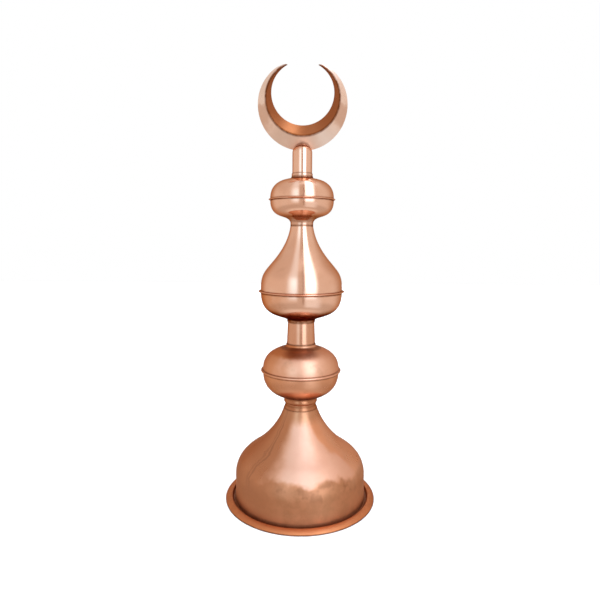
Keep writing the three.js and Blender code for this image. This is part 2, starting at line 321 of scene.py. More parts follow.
def collar_section():
    waist = Vector((COLLAR_WAIST_RADIUS, COLLAR_FOOT + CONE_HEIGHT))
    crown = (COLLAR_WAIST_RADIUS, waist.y + GROOVE_HEIGHT + BEAD_HEIGHT / 2)
    bead_end = math.degrees(math.acos(1 - BEAD_RETURN / BEAD_OUT))
    line = chain(
        straight((BELL_NECK_RADIUS, COLLAR_FOOT), waist, CONE_STEPS),
        arc(crown, BEAD_OUT, BEAD_HEIGHT / 2, -90, bead_end, FINE_ROUND_STEPS),
        spigot(COLLAR_TOP_RADIUS, COLLAR_TOP, TUBE_REACH),
    )
    return sheet_section(line)


def lower_ball_lower_section():
    line = chain(
        [(COLLAR_TOP_RADIUS - SHEET, LOWER_BALL_FOOT)],
        bend((COLLAR_TOP_RADIUS + SHEET, LOWER_BALL_FOOT), (LOWER_BALL_RADIUS, LOWER_RIB_FOOT),
             UNDER_BALL_SLOPE, UPRIGHT, UNDER_BALL_PULL, BALL_STEPS),
        spigot(LOWER_BALL_RADIUS, LOWER_RIB_FOOT, LOWER_RIB_HEIGHT),
    )
    return sheet_section(line)


def lower_ball_upper_section():
    neck = LOWER_TUBE_FOOT_RADIUS + SPIGOT_INSET
    neck_foot = Vector((neck, LOWER_BALL_TOP - NECK_EDGE))
    turn = neck_foot + Vector((LOWER_BALL_HOLLOW[0], -LOWER_BALL_HOLLOW[1]))
    rib = (LOWER_BALL_RADIUS, LOWER_RIB_TOP)
    line = chain(
        bend(rib, turn, UPRIGHT, OVER_BALL_SLOPE, OVER_BALL_PULL, BALL_STEPS),
        bend(turn, neck_foot, OVER_BALL_SLOPE, UPRIGHT, BALL_HOLLOW_PULL, HOLLOW_STEPS),
        [(neck, LOWER_BALL_TOP)],
    )
    return ribbed_section(line, LOWER_RIB_HEIGHT, LOWER_RIB_OUT, LOWER_RIB_SHARPNESS)


def lower_tube_section():
    taper = (LOWER_TUBE_FOOT_RADIUS - LOWER_TUBE_HEAD_RADIUS) / LOWER_TUBE_HEIGHT
    foot = (LOWER_TUBE_FOOT_RADIUS + taper * TUBE_REACH, LOWER_BALL_TOP - TUBE_REACH)
    head = (LOWER_TUBE_HEAD_RADIUS - taper * TUBE_REACH, VASE_FOOT + TUBE_REACH)
    return sheet_section(straight(foot, head, LOWER_TUBE_STEPS))


def vase_bowl_section():
    neck = LOWER_TUBE_HEAD_RADIUS + SPIGOT_INSET
    neck_top = Vector((neck, VASE_FOOT + NECK_EDGE))
    turn = neck_top + Vector(VASE_HOLLOW)
    line = chain(
        [(neck, VASE_FOOT)],
        bend(neck_top, turn, UPRIGHT, UNDER_BOWL_SLOPE, BOWL_HOLLOW_PULL, HOLLOW_STEPS),
        bend(turn, (VASE_RADIUS, VASE_RIB_FOOT), UNDER_BOWL_SLOPE, UPRIGHT, UNDER_BOWL_PULL, BELL_STEPS),
        spigot(VASE_RADIUS, VASE_RIB_FOOT, VASE_RIB_HEIGHT),
    )
    return sheet_section(line)


def vase_upper_section():
    waist = (VASE_WAIST_RADIUS, VASE_WAIST)
    line = chain(
        bend((VASE_RADIUS, VASE_RIB_TOP), waist, UPRIGHT, VASE_SLOPE, VASE_SHOULDER_PULL, VASE_STEPS),
        bend(waist, (VASE_NECK_RADIUS, VASE_TOP), VASE_SLOPE, VASE_NECK_SLOPE, VASE_NECK_PULL, VASE_STEPS),
        spigot(VASE_NECK_RADIUS, VASE_TOP, UPPER_SOCKET_HEIGHT),
    )
    return ribbed_section(line, VASE_RIB_HEIGHT, VASE_RIB_OUT, VASE_RIB_SHARPNESS)


def upper_ball_lower_section():
    socket_top = Vector((VASE_NECK_RADIUS, UPPER_BALL_FOOT + UPPER_SOCKET_HEIGHT))
    turn = socket_top + Vector(UPPER_FOOT_HOLLOW)
    rib = (UPPER_BALL_RADIUS, UPPER_RIB_FOOT)
    line = chain(
        [(VASE_NECK_RADIUS, UPPER_BALL_FOOT)],
        bend(socket_top, turn, UPRIGHT, UNDER_UPPER_BALL_SLOPE, UPPER_FOOT_HOLLOW_PULL, UPPER_HOLLOW_STEPS),
        bend(turn, rib, UNDER_UPPER_BALL_SLOPE, UPRIGHT, UNDER_UPPER_BALL_PULL, VASE_STEPS),
        spigot(UPPER_BALL_RADIUS, UPPER_RIB_FOOT, UPPER_RIB_HEIGHT),
    )
    return sheet_section(line)


def upper_ball_upper_section():
    neck = UPPER_TUBE_RADIUS + SPIGOT_INSET
    neck_foot = Vector((neck, UPPER_BALL_TOP - NECK_EDGE))
    turn = neck_foot + Vector((UPPER_HEAD_HOLLOW[0], -UPPER_HEAD_HOLLOW[1]))
    rib = (UPPER_BALL_RADIUS, UPPER_RIB_TOP)
    line = chain(
        bend(rib, turn, UPRIGHT, OVER_UPPER_BALL_SLOPE, OVER_UPPER_BALL_PULL, VASE_STEPS),
        bend(turn, neck_foot, OVER_UPPER_BALL_SLOPE, UPRIGHT, UPPER_HEAD_HOLLOW_PULL, UPPER_HOLLOW_STEPS),
        [(neck, UPPER_BALL_TOP)],
    )
    return ribbed_section(line, UPPER_RIB_HEIGHT, UPPER_RIB_OUT, UPPER_RIB_SHARPNESS)


def upper_tube_section():
    foot = UPPER_BALL_TOP - TUBE_REACH
    centre = (0, DOME_FOOT)
    inside = UPPER_TUBE_RADIUS - SHEET
    return chain(
        arc(centre, inside, DOME_HEIGHT - SHEET, 90, 0),
        straight((inside, DOME_FOOT), (inside, foot), INNER_TUBE_STEPS),
        straight((UPPER_TUBE_RADIUS, foot), (UPPER_TUBE_RADIUS, DOME_FOOT), TUBE_STEPS),
        arc(centre, UPPER_TUBE_RADIUS, DOME_HEIGHT, 0, 90, FINE_ROUND_STEPS),
    )


# Meshes

def finish_mesh(name, verts, faces, sharp_angle, grime_and_shade, tint=None):
    """A smooth-shaded object in metres, with the share of grime and painted shade at each vertex and of tint
    on each face.
    """
    mesh = bpy.data.meshes.new(name)
    mesh.from_pydata([tuple(v * MM for v in vert) for vert in verts], [], faces)
    face_layer = mesh.attributes.new("tint", "FLOAT", "FACE")
    face_layer.data.foreach_set("value", tint or [0.0] * len(faces))
    bm = bmesh.new()
    bm.from_mesh(mesh)
    bmesh.ops.recalc_face_normals(bm, faces=bm.faces)
    bm.to_mesh(mesh)
    bm.free()
    layer = mesh.attributes.new("grime_and_shade", "FLOAT", "POINT")
    layer.data.foreach_set("value", grime_and_shade)
    mesh.shade_smooth()
    mesh.set_sharp_from_angle(angle=math.radians(sharp_angle))
    obj = bpy.data.objects.new(name, mesh)
    bpy.context.scene.collection.objects.link(obj)
    return obj


def turn_about_axis(section, dent):
    """Vertices and faces of a closed section turned about the axis.
    dent(angle, radius, height) is how far a point lies inside its true radius."""
    verts, rows, faces = [], [], []
    for radius, height in section:
        if radius < NEARLY_NOTHING:
            rows.append([len(verts)] * AROUND)
            verts.append((0.0, 0.0, height))
            continue
        rows.append([len(verts) + j for j in range(AROUND)])
        for j in range(AROUND):
            angle = 2 * math.pi * j / AROUND
            r = radius - dent(angle, radius, height)
            verts.append((r * math.sin(angle), -r * math.cos(angle), height))
    open_axis = section[0][0] >= NEARLY_NOTHING
    for i in range(len(rows) if open_axis else len(rows) - 1):
        low, high = rows[i], rows[(i + 1) % len(rows)]
        for j in range(AROUND):
            k = (j + 1) % AROUND
            corners = [low[j], low[k], high[k], high[j]]
            faces.append(list(dict.fromkeys(corners)))
    return verts, faces


# Unevenness of the turned pieces, in millimetres

SEED_STEP = 7.31
SWELL_SIZE, RIPPLE_SIZE = 38, 13
DENT_SIZE, DIMPLE_SIZE, HAMMER_SIZE = 62, 24, 10
DENT_DEPTH, DIMPLE_DEPTH, HAMMER_DEPTH = 1.5, 0.42, 0.1
RIM_FADE, JOINT_FADE = 25, 20


def soft_noise(angle, radius, height, size, seed):
    """Noise between 0 and 1, with swells of about the given size."""
    place = Vector((radius * math.sin(angle), radius * math.cos(angle), height)) / size
    return 0.5 + 0.5 * noise.noise(place + Vector((0, 0, seed * SEED_STEP)))


def spun(seed, waviness):
    """Small unevenness of a piece spun on a lathe: a touch out of round, with faint swells."""
    def dent(angle, radius, height):
        oval = 0.5 + 0.5 * math.cos(2 * angle + seed)
        swell = soft_noise(angle, radius, height, SWELL_SIZE, seed)
        ripple = soft_noise(angle, radius, height, RIPPLE_SIZE, seed + 3)
        return waviness * (0.4 * oval + 0.5 * swell + 0.14 * ripple)
    return dent


def hand_worked(angle, radius, height):
    """Broad dents and hammer marks of the foot, fading out towards its rim and its joint."""
    on_skirt = radius > SKIRT_RADIUS - 2 * SHEET
    from_rim = min(1.0, max(0.0, (height - RIM_HEIGHT) / RIM_FADE)) if on_skirt else 1.0
    from_joint = min(1.0, max(0.0, (BELL_TOP - height) / JOINT_FADE))
    dents = DENT_DEPTH * soft_noise(angle, radius, height, DENT_SIZE, 1)
    dimples = DIMPLE_DEPTH * soft_noise(angle, radius, height, DIMPLE_SIZE, 2)
    hammering = HAMMER_DEPTH * soft_noise(angle, radius, height, HAMMER_SIZE, 5)
    return from_rim * from_joint * (dents + dimples + hammering)


# Shares of grime, painted shade and tint

RIM_TINT = 0.75
RIM_GRIME = 0.1
# Painted shade on the rim's left and right sides, under its nose and in the gutter
RIM_SIDE_SHADE = 0.32
NOSE_SHADE = 0.7
NOSE_SHADE_TOP = RIM_HEIGHT * 0.4
GUTTER_SHADE_TOP = RIM_HEIGHT + 3
JOINT_GRIME = 0.7


def bands(*marks):
    """Grime and painted shade gathered round some heights: each mark is (height, spread, share)."""
    def grime_and_shade(x, y, z):
        shares = [share * math.exp(-((z - height) / spread) ** 4) for height, spread, share in marks]
        return min(1.0, sum(shares))
    return grime_and_shade


def rim_tint(x, y, z):
    return RIM_TINT if math.hypot(x, y) > SKIRT_RADIUS + GUTTER_WIDTH else 0.0


def bell_grime_and_shade(x, y, z):
    """Grime at the joint and a little all over the rim; painted shade in the gutter, under the rim's nose
    and on the rim's left and right sides.
    """
    radius = math.hypot(x, y)
    share = JOINT_GRIME * math.exp(-((z - BELL_TOP) / SHEET) ** 2)
    if radius > SKIRT_RADIUS - 2 * SHEET and z < GUTTER_SHADE_TOP:
        half = GUTTER_WIDTH * 0.45
        share += math.exp(-((radius - SKIRT_RADIUS - half) / half) ** 2)
    if radius > SKIRT_RADIUS + GUTTER_WIDTH:
        share += RIM_GRIME + RIM_SIDE_SHADE * (x / radius) ** 2
        if z < NOSE_SHADE_TOP:
            share += NOSE_SHADE
    return min(1.0, share)


# Crescent

RIDGE_LINE = 4.8
TIP_GRIME = 0.4
WAVE_SHARE = 0.0175


def crescent_width(angle):
    along_axis = CRESCENT_OFFSET * math.cos(angle)
    across = CRESCENT_OFFSET * math.sin(angle)
    lune = along_axis + math.sqrt(CRESCENT_OUTER_RADIUS ** 2 - across ** 2) - CRESCENT_INNER_RADIUS
    horn, rounding = math.radians(HORN_ANGLE), math.radians(HORN_ROUNDING)
    near_tip = max(0.0, (abs(angle) - horn + rounding) / rounding)
    return lune * math.sqrt(max(0.0, 1 - near_tip ** 2))


def crescent_section(angle, clearance):
    """Radii of the inner edge, ridge and outer edge, and the ridge's depth, grown by the clearance."""
    width = crescent_width(angle)
    lowness = (1 + math.cos(angle)) / 2
    share = RIDGE_SHARE_ABOVE + (RIDGE_SHARE_BELOW - RIDGE_SHARE_ABOVE) * lowness
    inner_bevel = math.atan(RIDGE_DEPTH_SHARE / share)
    outer_bevel = math.atan(RIDGE_DEPTH_SHARE / (1 - share))
    inner = CRESCENT_INNER_RADIUS - clearance / math.sin(inner_bevel)
    outer = CRESCENT_INNER_RADIUS + width + clearance / math.sin(outer_bevel)
    inner_rise, outer_rise = math.tan(inner_bevel), math.tan(outer_bevel)
    ridge = (inner * inner_rise + outer * outer_rise) / (inner_rise + outer_rise)
    return inner, ridge, outer, (ridge - inner) * inner_rise


def crescent_point(angle, radius, depth):
    above = -radius * math.cos(angle)
    height = CRESCENT_CENTRE + above * (HORN_DROP if above > 0 else 1.0)
    return (radius * math.sin(angle), depth, height)


def crescent_ring(angle, clearance, face_steps):
    """Points round one section, from the inner edge, and their shares of darkening, which follows the ridge.
    """
    inner, ridge, outer, depth = crescent_section(angle, clearance)
    corners = [(inner, 0.0), (ridge, -depth), (outer, 0.0), (ridge, depth)]
    points, grime_and_shade = [], []
    for side in range(4):
        (r0, d0), (r1, d1) = corners[side], corners[(side + 1) % 4]
        for step in range(face_steps):
            t = step / face_steps
            swell = 0.0 if clearance else 4 * t * (1 - t)
            wave = WAVE_SHARE * swell * noise.noise(Vector((angle * 2.6, side * 5.0, t * 1.5)))
            points.append(crescent_point(angle, r0 + (r1 - r0) * t, (d0 + (d1 - d0) * t) * (1 - wave)))
            to_ridge = (outer - inner) * (t if side in (1, 3) else 1 - t)
            grime_and_shade.append(math.exp(-((to_ridge / RIDGE_LINE) ** 4)))
    return points, grime_and_shade


def crescent_mesh(clearance, face_steps, steps):
    """Kite-shaped sections round the inner circle, drawn together to a point at each horn.
    The inner bevels are tinted with a painted dark reflection."""
    horn = math.radians(HORN_ANGLE)
    verts, faces, grime_and_shade, tint = [], [], [], []
    rings = steps - 1
    per_ring = 4 * face_steps
    for i in range(1, rings + 1):
        ring_points, ring_grime_and_shade = crescent_ring(horn * (2 * i / steps - 1), clearance, face_steps)
        verts += ring_points
        grime_and_shade += ring_grime_and_shade
    ring_tint = [1.0 if side // face_steps in (0, 3) else 0.0 for side in range(per_ring)]
    for i in range(rings - 1):
        for side in range(per_ring):
            a, b = per_ring * i + side, per_ring * i + (side + 1) % per_ring
            faces.append((a, b, b + per_ring, a + per_ring))
        tint += ring_tint
    for end, sign in ((0, -1), (per_ring * (rings - 1), 1)):
        tip = len(verts)
        verts.append(crescent_point(sign * horn, CRESCENT_INNER_RADIUS, 0))
        grime_and_shade.append(TIP_GRIME)
        for side in range(per_ring):
            faces.append((tip, end + side, end + (side + 1) % per_ring))
        tint += ring_tint
    return verts, faces, grime_and_shade, tint


# Materials

TO_DEGREES = 180 / math.pi


class Graph:
    """A few short calls for building a node tree."""

    def __init__(self, tree):
        self.tree = tree
        tree.nodes.clear()

    def node(self, kind, inputs=None, **settings):
        made = self.tree.nodes.new(kind)
        for key, value in settings.items():
            setattr(made, key, value)
        for key, value in (inputs or {}).items():
            self.feed(made.inputs[key], value)
        return made

    def feed(self, socket, value):
        if isinstance(value, bpy.types.NodeSocket):
            self.tree.links.new(value, socket)
        else:
            socket.default_value = value

    def math(self, operation, *values, clamp=False):
        made = self.node("ShaderNodeMath", operation=operation, use_clamp=clamp)
        for socket, value in zip(made.inputs, values):
            self.feed(socket, value)
        return made.outputs[0]

    def product(self, first, *others):
        for other in others:
            first = self.math("MULTIPLY", first, other)
        return first

    def rise(self, value, low, high, bottom=0.0, top=1.0):
        """Goes smoothly from bottom to top as value goes from low to high."""
        made = self.node("ShaderNodeMapRange", {
            "Value": value, "From Min": low, "From Max": high, "To Min": bottom, "To Max": top,
        }, interpolation_type="SMOOTHSTEP")
        return made.outputs[0]

    def between(self, value, low, soft_low, high, soft_high):
        """1 between low and high, with soft ends."""
        return self.product(self.rise(value, low - soft_low, low + soft_low),
                            self.rise(value, high + soft_high, high - soft_high))

    def blend(self, factor, first, second):
        made = self.node("ShaderNodeMix", data_type="RGBA", blend_type="MIX")
        self.feed(made.inputs[0], factor)
        self.feed(made.inputs[6], first)
        self.feed(made.inputs[7], second)
        return made.outputs[2]

    def noise(self, vector, scale, detail=2.0, roughness=0.5):
        made = self.node("ShaderNodeTexNoise", {
            "Vector": vector, "Scale": scale, "Detail": detail, "Roughness": roughness,
        })
        return made.outputs[0]

    def sway(self, vector, width, scale, detail=2.0, roughness=0.5):
        """Noise about zero, for edges that waver. The width is in the unit of what it is added to."""
        return self.product(self.math("SUBTRACT", self.noise(vector, scale, detail, roughness), 0.5), width)

    def split(self, vector):
        return self.node("ShaderNodeSeparateXYZ", {"Vector": vector}).outputs

    def bearing(self, x, y):
        """Degrees round the axis from the front, to the right when positive."""
        return self.product(self.math("ARCTAN2", x, self.math("MULTIPLY", y, -1.0)), TO_DEGREES)


def rgb(red, green, blue):
    return (red, green, blue, 1.0)


# Clean copper, and its colour at a glancing angle
PINK_COPPER = rgb(0.93, 0.55, 0.40)
WARM_COPPER = rgb(0.89, 0.49, 0.335)
GLANCING = rgb(0.74, 0.48, 0.34)

# Stains, and grime that also paints shade
STAIN = rgb(0.42, 0.19, 0.09)
GRIME_AND_SHADE = rgb(0.22, 0.062, 0.018)
GRIME_AND_SHADE_GLANCING = rgb(0.2, 0.06, 0.02)

# Tinted faces: the crescent's hollow, browned as a painted dark reflection, and the rolled rim
HOLLOW_REFLECTION_BROWN = rgb(0.41, 0.128, 0.05)
RIM_ORANGE = rgb(0.86, 0.27, 0.09)

# The foot
SKIRT_BROWN = rgb(0.5, 0.2, 0.088)
SMUDGE_BROWN = rgb(0.3, 0.105, 0.04)
# Painted shade on the foot's left side
LEFT_PAINTED_SHADE = rgb(0.52, 0.2, 0.09)
# Painted light on the foot's right side
RIGHT_PAINTED_LIGHT = rgb(0.92, 0.5, 0.32)
# Polish with a painted highlight over it, in front
POLISH_AND_HIGHLIGHT_PINK = rgb(0.92, 0.54, 0.39)
POLISH_AND_HIGHLIGHT_PEACH = rgb(0.82, 0.42, 0.275)
NECK_BROWN = rgb(0.54, 0.225, 0.105)
# A painted reflection, as a wavy double line
REFLECTION_LINE_BROWN = rgb(0.3, 0.11, 0.05)

# The balls, the vase and the crescent
# Painted shade on the left of the balls and the bowl
BALL_LEFT_SHADE = rgb(0.7, 0.26, 0.1)
# Painted dark reflection on top of the lower ball
CAP_PAINTED_SHADE = rgb(0.62, 0.19, 0.06)
# Painted shade and reflection in rays on the crescent
CRESCENT_RAY_SHADE = rgb(0.64, 0.34, 0.22)

# Levels in metres between which the marks set in
SKIRT_EDGE = (0.104, 0.086)
SMUDGE_EDGE = (0.058, 0.08)
PALER_EDGE = (0.06, 0.1)
LEFT_EDGE = (0.01, 0.09)
POLISH_AND_HIGHLIGHT_EDGE = (0.09, 0.104)
POLISH_AND_HIGHLIGHT_TOP = (0.212, 0.18)
NECK_BROWN_EDGE = (0.186, 0.21)
REFLECTION_LINE_EDGE = (0.06, 0.09)
CAP_EDGE = ((LOWER_RIB_TOP + 33) * MM, (LOWER_RIB_TOP + 41) * MM)

# Bearings in degrees between which they set in, to the right when positive
FOOT_LEFT = (-10, -34)
BALL_LEFT = (-16, -56)
REAR_END = (-170, -125)
FOOT_RIGHT = (42, 72)
POLISH_AND_HIGHLIGHT_LEFT = (-36, -12)
POLISH_AND_HIGHLIGHT_PEACH_FROM = (4, 24)
DOUBLE_REFLECTION = ((-47, 0.45), (-52, 0.3))


def brown_skirt(g, place, colour, level, skirt):
    """Mottled brown, with darker smudges below its wavy upper edge."""
    mottle = g.rise(g.noise(place, 26.0, 4.0, 0.6), 0.36, 0.64, 0.7, 0.98)
    colour = g.blend(g.product(skirt, mottle), colour, SKIRT_BROWN)
    smears = g.rise(g.noise(place, 18.0, 3.0, 0.6), 0.48, 0.6, 0.0, 0.6)
    return g.blend(g.product(skirt, g.rise(level, *SMUDGE_EDGE), smears), colour, SMUDGE_BROWN)


def left_side(g, bearing, edge):
    """Sets in on the left, and fades out again at the back."""
    return g.product(g.rise(bearing, *edge), g.rise(bearing, *REAR_END))


def polish_and_highlight_area(g, bearing, level, z):
    """The area pale in front, polished and with a painted highlight over it, above the skirt, which narrows
    towards the neck.
    """
    right_end = g.rise(z, 0.09, 0.2, 62.0, 26.0)
    inside_right = g.rise(g.math("SUBTRACT", right_end, bearing), -4, 5)
    inside_left = g.rise(bearing, *POLISH_AND_HIGHLIGHT_LEFT)
    below_neck = g.rise(z, *POLISH_AND_HIGHLIGHT_TOP, 0.1, 1.0)
    return g.product(inside_right, inside_left, g.rise(level, *POLISH_AND_HIGHLIGHT_EDGE), below_neck)


def double_reflection_line(g, colour, bearing, z):
    """A painted reflection: a wavy double line down the brown side."""
    for middle, share in DOUBLE_REFLECTION:
        away = g.math("ABSOLUTE", g.math("SUBTRACT", bearing, middle))
        line = g.product(g.rise(away, 2.2, 0.6), g.rise(z, *REFLECTION_LINE_EDGE), share)
        colour = g.blend(line, colour, REFLECTION_LINE_BROWN)
    return colour


def worn_foot_with_painted_light(g, place, colour):
    """The foot is brown, browner on its neck, with painted shade browning its left side, painted light
    paling its right side, a painted reflection as a wavy double line down its left, and a pale front where
    polish has a painted highlight over it.
    """
    x, y, z = g.split(place)
    bearing = g.math("ADD", g.bearing(x, y), g.sway(place, 26.0, 16.0, 3.0, 0.55))
    level = g.math("ADD", z, g.sway(place, 0.055, 16.0, 3.0, 0.55))
    neck_level = g.math("ADD", z, g.sway(place, 0.03, 16.0, 3.0, 0.55))

    skirt = g.rise(level, *SKIRT_EDGE)
    colour = brown_skirt(g, place, colour, level, skirt)
    # Painted light: the right side is paler
    right_light = g.product(g.rise(bearing, *FOOT_RIGHT), g.rise(level, *PALER_EDGE), 0.6)
    colour = g.blend(right_light, colour, RIGHT_PAINTED_LIGHT)
    # Painted shade: the left side is browner
    left_shade = g.product(left_side(g, bearing, FOOT_LEFT), g.rise(z, *LEFT_EDGE, 0.8, 1.0), 0.85)
    colour = g.blend(left_shade, colour, LEFT_PAINTED_SHADE)

    # Polish with a painted highlight: the front is pale
    polish_and_highlight = polish_and_highlight_area(g, bearing, level, z)
    polish_and_highlight_tone = g.blend(g.rise(bearing, *POLISH_AND_HIGHLIGHT_PEACH_FROM), POLISH_AND_HIGHLIGHT_PINK, POLISH_AND_HIGHLIGHT_PEACH)
    colour = g.blend(g.product(polish_and_highlight, 0.9), colour, polish_and_highlight_tone)
    colour = g.blend(g.rise(neck_level, *NECK_BROWN_EDGE, 0.0, 0.75), colour, NECK_BROWN)
    colour = double_reflection_line(g, colour, bearing, z)
    return colour, g.math("ADD", g.product(polish_and_highlight, 0.2), g.product(skirt, 0.16))


def left_painted_shade(g, place, colour):
    """Painted shade: the left side, as seen from the front, is browner than the rest."""
    x, y, z = g.split(place)
    bearing = g.math("ADD", g.bearing(x, y), g.sway(place, 50.0, 30.0, 3.0))
    return g.blend(g.product(left_side(g, bearing, BALL_LEFT), 0.7), colour, BALL_LEFT_SHADE), 0.0


def left_and_cap_painted_shade(g, place, colour):
    """Painted shade browns the left, and a painted dark reflection browns most of all the top of the lower
    ball, round its tube, more on its left.
    """
    colour, roughening = left_painted_shade(g, place, colour)
    x, y, z = g.split(place)
    level = g.math("ADD", z, g.sway(place, 0.02, 24.0, 3.0, 0.6))
    cap = g.product(g.rise(level, *CAP_EDGE), g.rise(x, 0.02, -0.02, 0.2, 0.9))
    return g.blend(cap, colour, CAP_PAINTED_SHADE), roughening


def crescent_painted_rays(g, place, colour):
    """Painted shade and reflection: the crescent is darker on both sides below its middle and at its foot,
    in rays from its centre. It is a little rougher all over.
    """
    x, y, z = g.split(place)
    below = g.math("SUBTRACT", CRESCENT_CENTRE * MM, z)
    from_foot = g.math("ABSOLUTE", g.product(g.math("ARCTAN2", x, below), TO_DEGREES))
    from_foot = g.math("ADD", from_foot, g.sway(place, 22.0, 40.0, 3.0, 0.6))
    sides = g.product(g.rise(from_foot, 41, 54), g.rise(from_foot, 79, 71))
    foot = g.product(g.rise(from_foot, 24, 14, 0.0, 0.3), g.rise(from_foot, 0, 4))
    dull = g.product(g.math("ADD", sides, foot, clamp=True), 0.64)
    return g.blend(dull, colour, CRESCENT_RAY_SHADE), 0.06


def copper(name, clean, warm, gloss, lacquer, dent_depth, stain_share, spin_depth=0.003, marks=None,
           tint=HOLLOW_REFLECTION_BROWN):
    """Polished copper. Clean and warm are its two tones, gloss is (smoothest, roughest), and lacquer is how
    much of a hazy lacquer lies on it. The depths of dents and of the lines from spinning are in millimetres.
    Marks adds the piece's colours, painted light and shade among them, and roughness, and tint is the colour
    of its tinted faces."""
    material = bpy.data.materials.new(name)
    material.use_nodes = True
    g = Graph(material.node_tree)
    place = g.node("ShaderNodeTexCoord").outputs["Object"]

    colour = g.blend(g.rise(g.noise(place, 9.0, 3.0, 0.55), 0.36, 0.66), clean, warm)
    stain = g.product(g.rise(g.noise(place, 34.0, 4.0, 0.6), 0.56, 0.74), stain_share)
    colour = g.blend(stain, colour, STAIN)
    roughening = 0.0
    if marks:
        colour, roughening = marks(g, place, colour)
    tinted = g.node("ShaderNodeAttribute", attribute_name="tint").outputs["Fac"]
    colour = g.blend(tinted, colour, tint)
    grime_and_shade = g.node("ShaderNodeAttribute", attribute_name="grime_and_shade").outputs["Fac"]
    specks = g.rise(g.noise(place, 95.0, 3.0, 0.6), 0.4, 0.58, 0.78, 1.0)
    dirt_and_shade = g.math("MULTIPLY", grime_and_shade, specks, clamp=True)
    # Grime at the joints, and painted shade in the gutter, the hollows, the necks and the undersides
    colour = g.blend(dirt_and_shade, colour, GRIME_AND_SHADE)
    edge = g.blend(dirt_and_shade, GLANCING, GRIME_AND_SHADE_GLANCING)

    rough = g.rise(g.noise(place, 22.0, 3.0, 0.6), 0.3, 0.72, gloss[0], gloss[1])
    rough = g.math("ADD", rough, g.product(g.math("ADD", stain, dirt_and_shade), 0.2))
    rough = g.math("ADD", rough, roughening, clamp=True)

    rings = g.node("ShaderNodeMapping", {"Vector": place, "Scale": (6.0, 6.0, 900.0)}).outputs[0]
    relief = g.node("ShaderNodeBump", {
        "Height": g.noise(rings, 1.0, 2.0, 0.6), "Strength": 1.0, "Distance": spin_depth * MM,
    }).outputs[0]
    relief = g.node("ShaderNodeBump", {
        "Height": g.noise(place, 60.0), "Strength": 1.0, "Distance": dent_depth * MM, "Normal": relief,
    }).outputs[0]

    shader = g.node("ShaderNodeBsdfPrincipled", {
        "Base Color": colour, "Metallic": 1.0, "Roughness": rough, "Specular Tint": edge, "Normal": relief,
        "Coat Weight": lacquer, "Coat Roughness": 0.4, "Coat IOR": 1.6, "Coat Normal": relief,
    })
    out = g.node("ShaderNodeOutputMaterial")
    g.tree.links.new(shader.outputs[0], out.inputs[0])
    return material


bright = copper("bright_copper", PINK_COPPER, WARM_COPPER, gloss=(0.12, 0.19), lacquer=0.0,
                dent_depth=0.02, stain_share=0.12)
# The bowl: painted shade on its left
bright_below = copper("left_shaded_bright_copper", PINK_COPPER, WARM_COPPER, gloss=(0.12, 0.19), lacquer=0.0,
                      dent_depth=0.02, stain_share=0.12, marks=left_painted_shade)
# The lower ball's upper half: painted shade on its left and a painted dark reflection on its top
satin = copper("satin_copper", rgb(0.9, 0.47, 0.31), rgb(0.83, 0.4, 0.24), gloss=(0.34, 0.44), lacquer=0.3,
               dent_depth=0.04, stain_share=0.2, spin_depth=0.004, marks=left_and_cap_painted_shade)
# The lower ball's lower half: its darker copper than the upper half's is painted shade, with painted shade
# on its left too
satin_below = copper("shaded_lower_copper", rgb(0.8, 0.36, 0.2), rgb(0.72, 0.3, 0.15), gloss=(0.24, 0.34),
                     lacquer=0.4, dent_depth=0.04, stain_share=0.2, spin_depth=0.004, marks=left_painted_shade)
rolled = copper("rolled_copper", rgb(0.77, 0.38, 0.24), rgb(0.71, 0.33, 0.195), gloss=(0.18, 0.26),
                lacquer=0.3, dent_depth=0.03, stain_share=0.16)
worked = copper("worked_copper", rgb(0.86, 0.36, 0.185), rgb(0.78, 0.30, 0.145), gloss=(0.26, 0.38),
                lacquer=0.35, dent_depth=0.2, stain_share=0.3, spin_depth=0.002, marks=worn_foot_with_painted_light,
                tint=RIM_ORANGE)
dull = copper("dull_copper", rgb(0.57, 0.225, 0.11), rgb(0.47, 0.17, 0.078), gloss=(0.2, 0.32), lacquer=0.1,
              dent_depth=0.06, stain_share=0.4)
# The crescent: painted shade and reflection in rays
crescent_finish = copper("crescent_copper", rgb(0.98, 0.72, 0.6), rgb(0.96, 0.66, 0.53), gloss=(0.2, 0.3),
                         lacquer=0.0, dent_depth=0.04, stain_share=0.1, spin_depth=0.0, marks=crescent_painted_rays)


# The pieces

def dress(obj, node, material):
    obj.data.materials.append(material)
    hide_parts(node)
    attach(obj, "root")


def add_turned(node, section, material, dent, grime_and_shade, tint=None):
    """A piece turned about the axis. Grime with painted shade, and tint, are functions of a place in
    millimetres.
    """
    verts, faces = turn_about_axis(section, dent)
    face_tints = [tint(*verts[face[0]]) for face in faces] if tint else None
    obj = finish_mesh(node + "_fine", verts, faces, SHARP_ANGLE, [grime_and_shade(*v) for v in verts], face_tints)
    dress(obj, node, material)


def add_crescent():
    verts, faces, grime_and_shade, tint = crescent_mesh(0.0, CRESCENT_FACE_STEPS, CRESCENT_STEPS)
    crescent = finish_mesh("crescent_fine", verts, faces, CRESCENT_SHARP_ANGLE, grime_and_shade, tint)
    dress(crescent, "crescent", crescent_finish)


